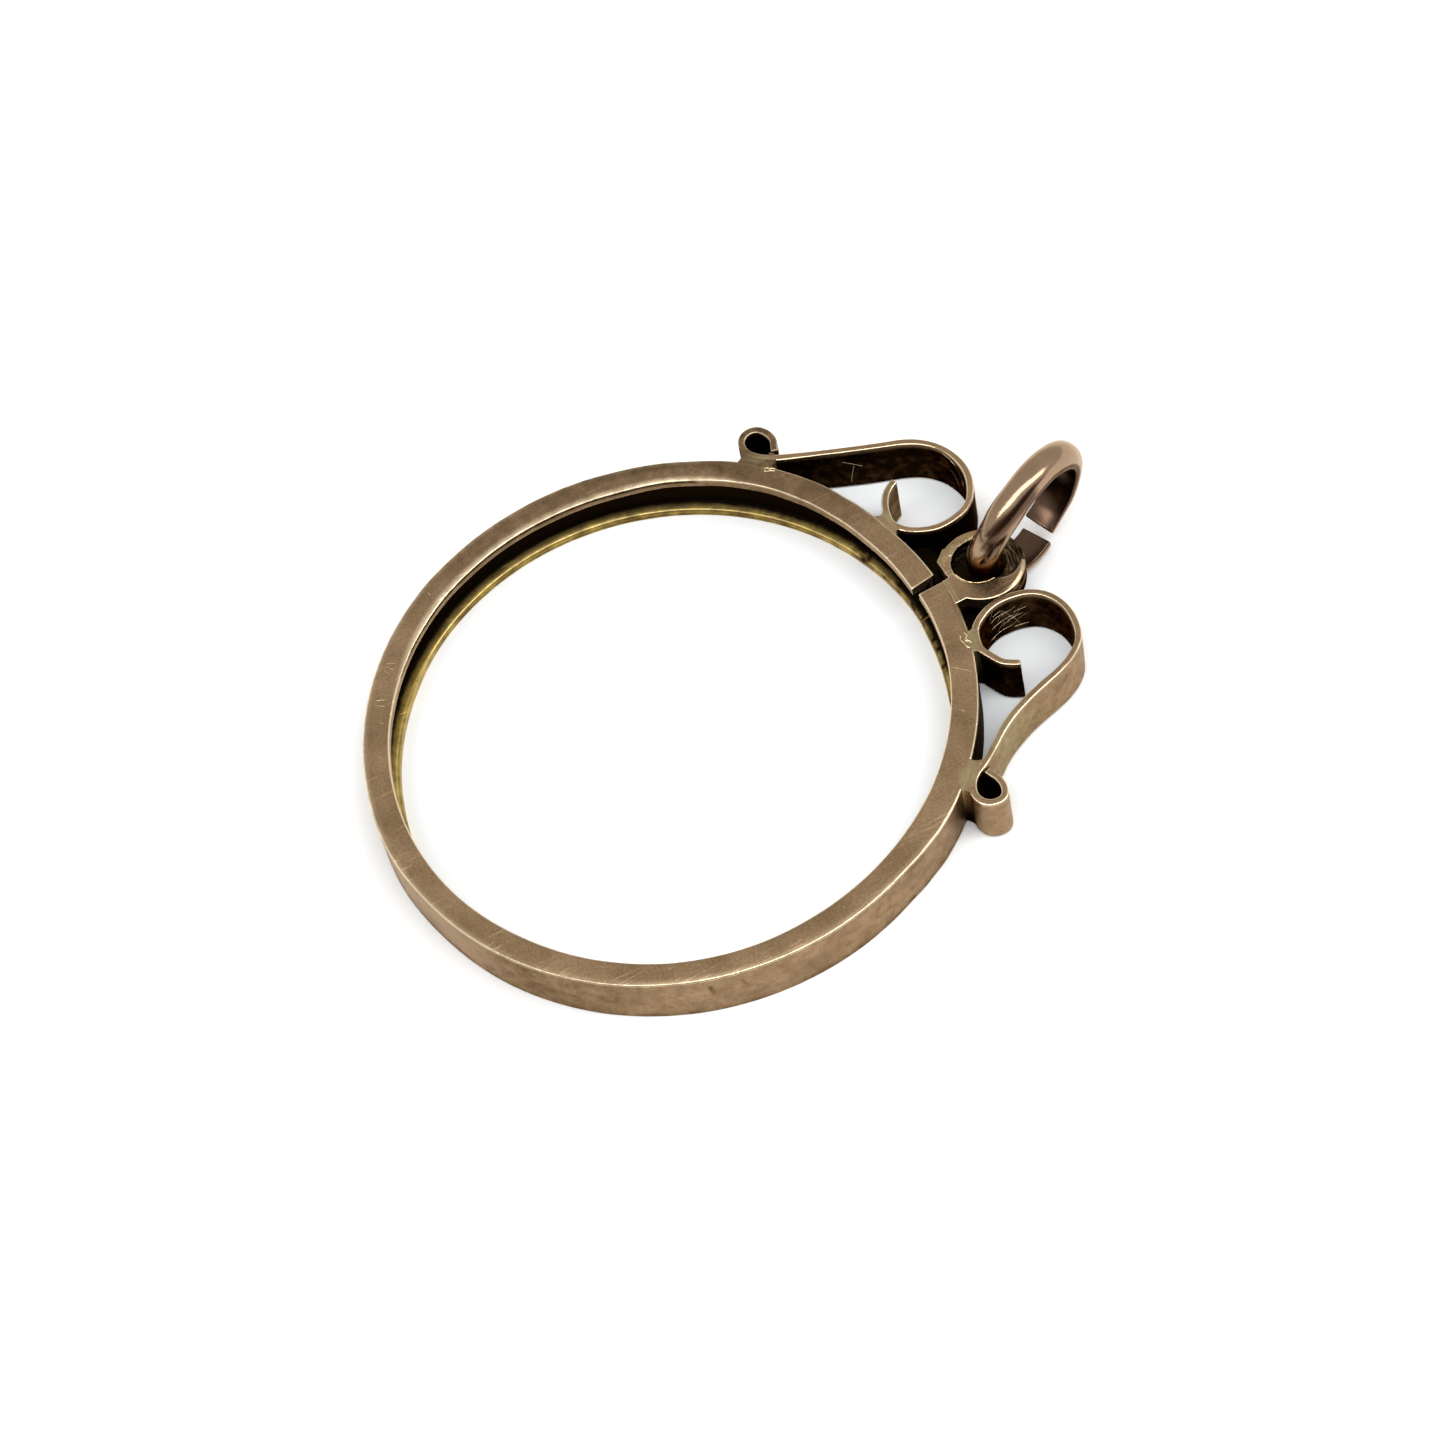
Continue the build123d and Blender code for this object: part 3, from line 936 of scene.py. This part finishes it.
def wearEar(piece, low, top):
    land, outerLower, innerLower = ear["leftLower"]
    mouth, mouthWide = ear["mouthLower"]
    for v in piece.data.vertices:
        # the left land is rubbed round and lower than the neck
        left = 1 - fade(v.co.x - 0.30 * (v.co.y - bandRadius - 0.4 * mm), 0.13 * mm, 0.22 * mm)
        high = fade(v.co.z, low + 0.4 * mm, top)
        away = fromEar(v.co)
        lower = land + outerLower * fade(away, 0.80, 1.02) + innerLower * (1 - fade(away, 0.62, 0.75))
        v.co.z -= high * left * lower * mm
        # the hole's mouth is rounded
        if v.co.z > top - 0.03 * mm:
            fromHole = (v.co.xy - ear["hole"].xy).length - ear["holeRadius"]
            v.co.z -= mouth * mm * (1 - fade(fromHole, 0.0, mouthWide * mm))
        # the far rim is rounded off
        right = fade(v.co.y, bandRadius + 1.6 * mm, bandRadius + 3.0 * mm) * (1 - left)
        v.co.z -= high * right * ear["farLower"] * fade(away, 0.90, 1.0) * mm


def pitted(place):
    # most on the left land, and hardly at the outline
    land = 0.10 + fade(ear["hole"].x - place.x, 0.1 * mm, 0.7 * mm)
    return land * (1 - 0.9 * fade(fromEar(place), 0.84, 0.93))


earPiece = makeEar()


def earTarnishAndShade(place):
    away = (place.xy - ear["hole"].xy).length
    depth = (bandDepth - place.z) / mm
    angle = math.degrees(math.atan2(place.y - ear["hole"].y, place.x - ear["hole"].x))
    worn = between(angle, -25, 110, 15)
    # painted shade: black down the hole and under the ear's top
    blackFrom = 0.10 + 0.26 * worn
    within = 1 - fade(away - ear["holeRadius"], 0.01 * mm, 0.06 * mm)
    inHoleShade = within * fade(depth, blackFrom, blackFrom + 0.14)
    dark, streaky = ear["wornDark"]
    streaks = noise.noise(Vector((away / (0.07 * mm), angle / 14, depth / 0.15)))
    wornSide = worn * fade(depth, 0.03, 0.16) * (dark + streaky * streaks)
    return max(inHoleShade, wornSide, ear["underDark"] * fade(depth, 0.50, 0.65))


def onLeftLand(place, start=0.2, end=1.0):
    return fade(ear["hole"].x - place.x, start * mm, end * mm)


def earSolder(place):
    joint = between(place.xy.length, bandRadius + 0.20 * mm, bandRadius + 0.36 * mm, 0.10 * mm)
    return max(ear["jointSolder"] * joint, ear["leftSolder"] * onLeftLand(place))


def earPolish(place):
    return ear["leftPolish"] * onLeftLand(place)


# rubbed edges and their painted highlight, less on the left land and the far rim
def earRubAndHighlight(place):
    far = fade(place.y - bandRadius, 1.6 * mm, 2.6 * mm)
    return 1 - ear["leftRubHighlightLess"] * onLeftLand(place, -0.2, 0.4) - ear["farRubHighlightLess"] * far


paint(earPiece, tarnish=earTarnishAndShade, solder=earSolder, polish=earPolish, rub=earRubAndHighlight)
print("ear cut", len(earPiece.data.polygons), "faces")


# solder run in between the band and the strips, flush with both
solder = {
    # side, from and to angle, then in mm how hollow the ends are, the heights that it fills,
    # and how far out it may go
    "joints": {
        "left_tail": ("left", -18.9, -12.2, 0.20, (0.13, 2.41), 0.75),
        "left_curl": ("left", -49.8, -41.6, 0.20, (0.13, 2.41), 0.75),
        "right_tail": ("right", 12.9, 19.4, 0.20, (0.13, 2.41), 0.75),
        "right_curl": ("right", 40.9, 48.9, 0.18, (0.13, 2.41), 0.75),
        # blocks low in the wells by the split, blackened as painted shade
        "left_well_shade_fill": ("left", -13.0, -1.6, 0.05, (0.13, 1.28), 0.95),
        "right_well_shade_fill": ("right", 2.2, 13.6, 0.05, (0.30, 1.28), 0.95),
    },
    "wellReach": 9.5,           # nearer to the split than this, in degrees, a well goes as far out as it may
    "inBand": 0.10 * mm,        # how far it starts inside the band's edge
    "least": 0.15 * mm,         # and how far out it goes at least
    "edgeRound": 0.02 * mm,
    "sideDark": 0.97,           # painted shade on the sides under the top
    "curlDirt": 0.42,           # and on top of the left small curl's joint
    "green": (0.22, 0.4),       # how green it is, and how much more along the band's edge
    "rub": 0.6,
}


def stripOver(side, angle):
    # how far the strip's middle line stands over the band at an angle, where it runs along the band
    line = [(place, way) for place, way in midLine(side) if place.xy.length < bandRadius + 1.1 * mm]
    spot, way = min(line, key=lambda row: abs(angleOf(row[0]) - angle))
    along = around(angle, 1.0)
    # where the straight line through that spot crosses this angle
    cross = way.x * along.y - way.y * along.x
    if abs(cross) < 0.3:
        return spot.xy.length - bandRadius
    reach = (spot.x * along.y - spot.y * along.x) / -cross
    return (spot + way * reach).xy.length - bandRadius


def makeSolder(name, side, start, end, hollow, heights, furthest):
    low, top = heights[0] * mm, min(heights[1] * mm, bandDepth - 0.002 * mm)
    inBand = solder["inBand"]
    letGo()
    bpy.ops.mesh.primitive_grid_add(x_subdivisions=36, y_subdivisions=8, size=2)
    piece = named("solder_" + name)
    outer = {}
    for v in piece.data.vertices:
        share = (v.co.y + 1) / 2
        recede = math.degrees(hollow * mm / bandRadius) * 4 * share * (1 - share)
        angle = (start + end) / 2 + v.co.x * ((end - start) / 2 - recede)
        key = round(angle, 3)
        if key not in outer:
            outer[key] = furthest * mm
            if abs(angle) >= solder["wellReach"]:
                outer[key] = max(solder["least"], min(furthest * mm, stripOver(side, angle)))
        v.co = around(angle, bandRadius - inBand + share * (outer[key] + inBand), top)
    editAll(piece)
    bpy.ops.mesh.extrude_region_move(TRANSFORM_OT_translate={"value": (0, 0, low - top)})
    letGo()
    closeUp(piece)
    roundEnds(piece, solder["edgeRound"], 2, 50)
    smoothOver(piece, 50)
    dirt = solder["curlDirt"] if name == "left_curl" else 0.0
    green, edgeGreen = solder["green"]

    # dirt on top of the left curl's joint, and painted shade on the sides under the top
    def dark(place):
        return max(dirt, solder["sideDark"] * fade(bandDepth - place.z, 0.01 * mm, 0.06 * mm))

    def tint(place):
        return green + edgeGreen * between(place.xy.length - bandRadius, 0.16 * mm, 0.34 * mm, 0.08 * mm)

    paint(piece, tarnish=dark, solder=tint, rub=solder["rub"])
    return piece


solderPieces = [makeSolder(name, *sizes) for name, sizes in solder["joints"].items()]
print("solder run in")


# the jump ring of D-shaped wire

jumpRing = {
    "innerRadius": 2.47 * mm,
    "width": 1.27 * mm,
    "thickness": 0.73 * mm,
    "cornerRound": 0.13 * mm,
    "gap": 0.42 * mm,
    "lean": 10.8,
    "turn": 24.2,
    "middle": Vector((-0.228 * mm, bandRadius + 4.145 * mm, bandDepth + 0.845 * mm)),
    "gapAngle": -71.0,
    "upperTwist": -2.0,
    "legs": [(85.0, 0.0), (70.0, 10.0), (None, -12.0)],    # turn and twist of each stretch down the near leg
    "stepAngle": 2.5,
    "pressed": Vector((-0.20 * mm, 0.0, 0.0)),             # how the near leg is pressed over in the ear
    "endRound": 0.05 * mm,
    "waves": (0.035 * mm, 1.3 * mm),                       # how far in and out, and how long
    "dents": (0.006 * mm, 0.35 * mm),
    # tarnish and painted shade from 0 to 1
    "insideDark": 0.58,
    "earDark": (0.55, 0.45),                               # painted shade where it hangs in the ear, in two steps up the near leg
    # a painted dark reflection down the near leg
    "reflectionDark": 0.52,
}


ringRadius = jumpRing["innerRadius"] + jumpRing["thickness"] / 2
halfGap = math.degrees(jumpRing["gap"] / 2 / ringRadius)


def spinLeg(place, way, inward, turn, twist):
    # carries the picked end of the wire round one arc, and gives the place and directions at its end
    across = way.cross(inward)
    bent = inward * math.cos(math.radians(twist)) + across * math.sin(math.radians(twist))
    axis = way.cross(bent)
    centre = place + bent * ringRadius
    steps = math.ceil(turn / jumpRing["stepAngle"])
    bpy.ops.mesh.spin(steps=steps, angle=-math.radians(turn), center=centre, axis=axis)
    turned = Matrix.Rotation(math.radians(turn), 3, axis)
    return centre + turned @ (place - centre), turned @ way, turned @ inward


def makeLeg(top, up, way, stretches):
    half, thick = jumpRing["width"] / 2, jumpRing["thickness"]
    domeRadius = (half * half + thick * thick) / (2 * thick)
    letGo()
    bpy.ops.mesh.primitive_circle_add(vertices=72, radius=domeRadius, fill_type="NGON")
    leg = named("jump_ring_leg")
    middle = top + up * (thick / 2 - domeRadius)
    stood = Matrix((way.cross(-up), -up, way)).transposed().to_4x4()
    leg.matrix_world = Matrix.Translation(middle) @ stood
    setInPlace(leg)
    flat = top - up * thick / 2
    editAll(leg)
    bpy.ops.mesh.bisect(plane_co=flat, plane_no=-up, clear_outer=True)
    pickIn(leg, "VERT", lambda p: abs((p - flat).dot(up)) < tiny)
    bpy.ops.mesh.bevel(offset=jumpRing["cornerRound"], segments=5, affect="VERTICES")
    bpy.ops.mesh.select_all(action="SELECT")
    place, inward, used = top, -up, 0
    for turned, twist in stretches:
        if turned is None:
            turned = 270 + jumpRing["gapAngle"] - halfGap - used
        place, way, inward = spinLeg(place, way, inward, turned, twist)
        used += turned
    letGo()
    return leg


def makeJumpRing():
    turn, lean = math.radians(jumpRing["turn"]), math.radians(jumpRing["lean"])
    axle = Vector((math.cos(lean) * math.cos(turn), math.cos(lean) * math.sin(turn), -math.sin(lean)))
    outward = Vector((-math.sin(turn), math.cos(turn), 0))
    up = axle.cross(outward)
    top = jumpRing["middle"] + up * ringRadius
    piece = makeLeg(top, up, outward, [(90 - jumpRing["gapAngle"] - halfGap, jumpRing["upperTwist"])])
    other = makeLeg(top, up, -outward, jumpRing["legs"])
    # the halves meet at the top, where neither keeps its cap
    for leg in (piece, other):
        pickUp(leg)
        pickIn(leg, "FACE", lambda p: (p - top).length < 0.2 * mm)
        bpy.ops.mesh.delete(type="ONLY_FACE")
        letGo()
    pickUp(piece)
    other.select_set(True)
    bpy.ops.object.join()
    piece = named("jump_ring_wire")
    closeUp(piece)
    roundEnds(piece, jumpRing["endRound"], 3, 50)
    for v in piece.data.vertices:
        low = 1 - fade(v.co.z - bandDepth, 0.2 * mm, 2.6 * mm)
        near = 1 - fade(v.co.y - bandRadius, 2.4 * mm, 3.6 * mm)
        v.co += jumpRing["pressed"] * low * near
    unsettle(piece, *jumpRing["waves"], seed=5)
    unsettle(piece, *jumpRing["dents"], seed=9)
    smoothOver(piece)
    return piece


ringPiece = makeJumpRing()
ringAxle = directionOf(jumpRing["turn"])


def ringTarnishAndShade(place):
    # brown on the flat inside, and painted shade, black, where it hangs in the ear
    away = place - jumpRing["middle"]
    side = away.dot(ringAxle)
    fromInside = (away - ringAxle * side).length - jumpRing["innerRadius"]
    inside = jumpRing["insideDark"] * (1 - fade(fromInside, 0.04 * mm, 0.16 * mm))
    over = (place.z - bandDepth) / mm
    low, high = jumpRing["earDark"]
    inEarShade = low * (1 - fade(over, 0.5, 1.4)) + high * (1 - fade(over, 0.9, 1.75))
    inEarShade *= 1 - fade(place.y, 14.6 * mm, 15.4 * mm)
    # a painted dark reflection: a wine-dark band that slants down the near leg
    start = 0.84 - 0.45 * (6.1 - place.z / mm)
    reflectionBand = fade(side / mm, start - 0.05, start + 0.08) * (1 - fade(side / mm, start + 0.35, start + 0.60))
    reflectionBand *= fade(over, 1.7, 2.2) * (1 - fade(place.y, 15.7 * mm, 16.3 * mm))
    return max(inside, inEarShade, jumpRing["reflectionDark"] * reflectionBand)


paint(ringPiece, tarnish=ringTarnishAndShade)
print("jump ring bent", len(ringPiece.data.polygons), "faces")


# single scratches and crinkled ridges of solder that stand out
marks = {
    "scratchRadius": 0.014 * mm,
    "ridgeRadius": 0.048 * mm,
    "scratchWander": 0.03 * mm,
    "ridgeWander": 0.06 * mm,
    "ridgeGreen": 0.6,
    "rub": 0.4,
    "tangle": 15,                        # fine ones inside the right curl
    "tangleTurns": (4, 14, 24, 62),      # degrees up from the wall's length
    "tangleLength": (0.4, 1.3),          # mm
    "overTop": 2.41,                     # the height of marks on the band's top, in mm
    # each scratch as a few places in mm on the wall that it is on
    "scratches": [
        (leftScroll, (-7.10, 11.30, 1.80), (-6.90, 11.75, 1.50), (-6.74, 12.08, 1.35)),
        (leftScroll, (-6.92, 11.73, 1.45), (-6.98, 11.60, 0.90), (-7.00, 11.51, 0.25)),
        (leftScroll, (-5.08, 14.70, 2.25), (-4.40, 14.92, 2.05), (-3.96, 14.97, 1.60), (-3.90, 14.97, 1.10)),
        (leftScroll, (-4.71, 14.86, 1.44), (-4.40, 14.92, 1.10), (-4.26, 14.95, 0.70)),
        (rightScroll, (2.55, 12.57, 0.45), (2.42, 13.57, 0.60), (2.74, 14.49, 1.50)),
        (rightScroll, (2.40, 13.22, 1.90), (2.44, 13.60, 1.20), (2.51, 14.00, 0.35)),
        (bandPiece, (3.92, 10.19, 2.41), (4.28, 10.55, 2.41), (4.60, 10.86, 2.41)),
        (bandPiece, (5.95, 9.62, 2.41), (5.82, 9.79, 2.41)),
    ],
    # short ones across the band's top: degrees, from and to radius in mm, and degrees that they slant
    "crossMarks": [
        (-146.5, 10.95, 11.45, 0.5), (-145.2, 11.0, 11.5, -0.4), (-138.5, 11.1, 11.5, 0.8),
        (-137.6, 11.0, 11.45, 0.3), (-136.6, 11.05, 11.5, -0.5), (-158.0, 11.0, 11.3, 1.5),
        (-119.0, 11.2, 11.45, 0.3), (-150.5, 10.9, 11.2, 0.6), (80.5, 11.1, 11.3, 0.6),
        (31.2, 11.15, 11.45, 0.4), (28.0, 11.75, 11.86, 0.8),
    ],
    # solder left in ridges on the band's top, as places across and along in mm
    "ridges": [
        [(2.86, 11.20), (3.05, 11.10), (3.22, 11.12), (3.43, 11.16), (3.62, 11.30)],
        [(2.84, 11.40), (3.01, 11.45), (3.10, 11.28), (3.30, 11.36), (3.44, 11.46), (3.58, 11.38)],
        [(3.18, 11.20), (3.26, 11.34), (3.20, 11.48)],
        [(-8.05, 8.42), (-8.00, 8.58), (-7.88, 8.60), (-7.92, 8.78), (-7.80, 8.84)],
        [(-7.98, 8.36), (-7.86, 8.45), (-7.80, 8.62), (-7.70, 8.80)],
    ],
}


def makeStrokes(name, strokes, radius, wander):
    # thin lines laid on the pieces, each pulled onto the nearest metal
    letGo()
    line = bpy.data.curves.new(name, "CURVE")
    line.dimensions = "3D"
    line.bevel_depth = radius
    line.bevel_resolution = 1
    line.use_fill_caps = True
    for piece, *places in strokes:
        spots = []
        for first, last in zip(places, places[1:]):
            for i in range(6):
                spot = Vector(first).lerp(Vector(last), i / 6) * mm
                spot += noise.noise_vector(spot / (0.35 * mm)) * wander
                spots.append(piece.closest_point_on_mesh(spot)[1])
        spline = line.splines.new("POLY")
        spline.points.add(len(spots) - 1)
        for point, spot in zip(spline.points, spots):
            point.co = (*spot, 1)
            point.radius = 0.5 + 0.9 * abs(noise.noise(spot / (0.3 * mm)))
        spline.points[0].radius = spline.points[-1].radius = 0.2
    piece = bpy.data.objects.new(name, line)
    bpy.context.scene.collection.objects.link(piece)
    pickUp(piece)
    bpy.ops.object.convert(target="MESH")
    piece = named(name)
    closeUp(piece)
    smoothOver(piece, 80, weighted=False)
    return piece


def makeScratches():
    strokes = list(marks["scratches"])
    for angle, low, high, slant in marks["crossMarks"]:
        start = around(angle - slant / 2, low, marks["overTop"])
        end = around(angle + slant / 2, high, marks["overTop"])
        strokes.append((bandPiece, start, end))
    # a tangle of fine ones inside the right curl
    luck = random.Random(8)
    for i in range(marks["tangle"]):
        start = Vector((2.45, luck.uniform(12.5, 13.8), luck.uniform(0.2, 1.9)))
        turn = math.radians(luck.choice(marks["tangleTurns"]) + luck.uniform(-9, 9))
        end = start + Vector((0, math.cos(turn), math.sin(turn))) * luck.uniform(*marks["tangleLength"])
        end.z = min(end.z, 2.2)
        strokes.append((rightScroll, start, (start + end) / 2, end))
    return makeStrokes("scratches", strokes, marks["scratchRadius"], marks["scratchWander"])


def makeRidges():
    strokes = [(bandPiece, *[(x, y, marks["overTop"]) for x, y in ridge]) for ridge in marks["ridges"]]
    return makeStrokes("solder_ridges", strokes, marks["ridgeRadius"], marks["ridgeWander"])


scratchPiece = makeScratches()
ridgePiece = makeRidges()
paint(scratchPiece, rub=marks["rub"])
paint(ridgePiece, solder=marks["ridgeGreen"], rub=marks["rub"])
print("scratches and ridges laid on")


# every piece gets its metal and its place in the frame

framePieces = [bandPiece, leftScroll, rightScroll, earPiece, scratchPiece, ridgePiece, *solderPieces]
for piece in framePieces:
    piece.data.materials.clear()
    piece.data.materials.append(brightGold if piece in (scratchPiece, ridgePiece) else frameGold)
    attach(piece, "root")
    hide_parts("coin_frame")
ringPiece.data.materials.clear()
ringPiece.data.materials.append(ringGold)
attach(ringPiece, "root")
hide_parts("jump_ring")


# floor, light and camera

studio = {
    "floorSize": 2.0,
    "floorTone": (0.97, 0.97, 0.965),
    "floorRoughness": 0.85,
    "floorShine": 0.1,
    "skyTone": (0.80, 0.79, 0.77),
    "darkTone": (0.13, 0.080, 0.060),     # the side where the photographer stands
    "darkWay": (0.94, -0.34),
    "darkRise": 0.9,                      # how fast it gives way to the sky upwards
    "darkEdge": (0.02, 0.28),
    "windowTone": (0.93, 0.97, 1.0),
    "windowPlace": (0.14, 0.04, 0.40),
    "windowSize": (0.15, 1.2),
    "windowTurn": -13,
    "windowPower": 3.0,
}


def makeFloor():
    letGo()
    bpy.ops.mesh.primitive_plane_add(size=studio["floorSize"], location=(0, 0, frameLow.z))
    floor = named("floor")
    setInPlace(floor)
    paper = bpy.data.materials.new("palePaper")
    paper.use_nodes = True
    shader = paper.node_tree.nodes["Principled BSDF"]
    shader.inputs["Base Color"].default_value = (*studio["floorTone"], 1)
    shader.inputs["Roughness"].default_value = studio["floorRoughness"]
    shader.inputs["Specular IOR Level"].default_value = studio["floorShine"]
    floor.data.materials.append(paper)


def makeSky():
    world = bpy.data.worlds.new("studio")
    bpy.context.scene.world = world
    world.use_nodes = True
    tree = world.node_tree
    background = tree.nodes["Background"]
    apart = addNode(tree, "ShaderNodeSeparateXYZ", (-1000, 0))
    way = addNode(tree, "ShaderNodeTexCoord", (-1200, 0)).outputs["Generated"]
    tree.links.new(way, apart.inputs[0])
    across = times(tree, apart.outputs[0], studio["darkWay"][0], (-800, 100))
    along = times(tree, apart.outputs[1], studio["darkWay"][1], (-800, -50))
    height = sums(tree, "MAXIMUM", apart.outputs[2], 0.0, (-800, -200))
    risen = times(tree, height, studio["darkRise"], (-600, -200))
    side = sums(tree, "SUBTRACT", plus(tree, across, along, (-600, 50)), risen, (-450, 0))
    skyEnds, darkStarts = studio["darkEdge"]
    tone = rampNode(tree, side, (-300, 0), [(skyEnds, studio["skyTone"]), (darkStarts, studio["darkTone"])])
    tree.links.new(tone, background.inputs["Color"])


def makeWindow():
    lamp = bpy.data.lights.new("window", "AREA")
    lamp.shape = "RECTANGLE"
    lamp.size, lamp.size_y = studio["windowSize"]
    lamp.energy = studio["windowPower"]
    lamp.color = studio["windowTone"]
    holder = bpy.data.objects.new("window", lamp)
    bpy.context.scene.collection.objects.link(holder)
    place = Vector(studio["windowPlace"])
    back = place.normalized()
    turn = math.radians(studio["windowTurn"])
    along = Vector((-math.sin(turn), math.cos(turn), 0))
    along = (along - back * along.dot(back)).normalized()
    turned = Matrix((along.cross(back), along, back)).transposed().to_4x4()
    holder.matrix_world = Matrix.Translation(place) @ turned


camera = {
    "lens": 107.4,
    "azimuth": 74.6,
    "elevation": 57.28,
    "roll": -13.96,
    "distance": 166.1 * mm,
    "lookAt": Vector((0.026 * mm, 2.062 * mm, 0)),
}


def makeCamera():
    data = bpy.data.cameras.new("camera")
    data.lens = camera["lens"]
    data.sensor_width = 36
    data.clip_start = 0.01
    holder = bpy.data.objects.new("camera", data)
    bpy.context.scene.collection.objects.link(holder)
    a, e = math.radians(camera["azimuth"]), math.radians(camera["elevation"])
    back = Vector((math.sin(a) * math.cos(e), -math.cos(a) * math.cos(e), math.sin(e)))
    side = Vector((0, 0, 1)).cross(back).normalized()
    roll = Matrix.Rotation(math.radians(camera["roll"]), 3, "Z")
    turned = (Matrix((side, back.cross(side), back)).transposed() @ roll).to_4x4()
    holder.matrix_world = Matrix.Translation(camera["lookAt"] + back * camera["distance"]) @ turned
    bpy.context.scene.camera = holder


makeFloor()
makeSky()
makeWindow()
makeCamera()
bpy.context.scene.view_settings.view_transform = "Standard"
letGo()
bpy.context.view_layer.update()
print("studio set")
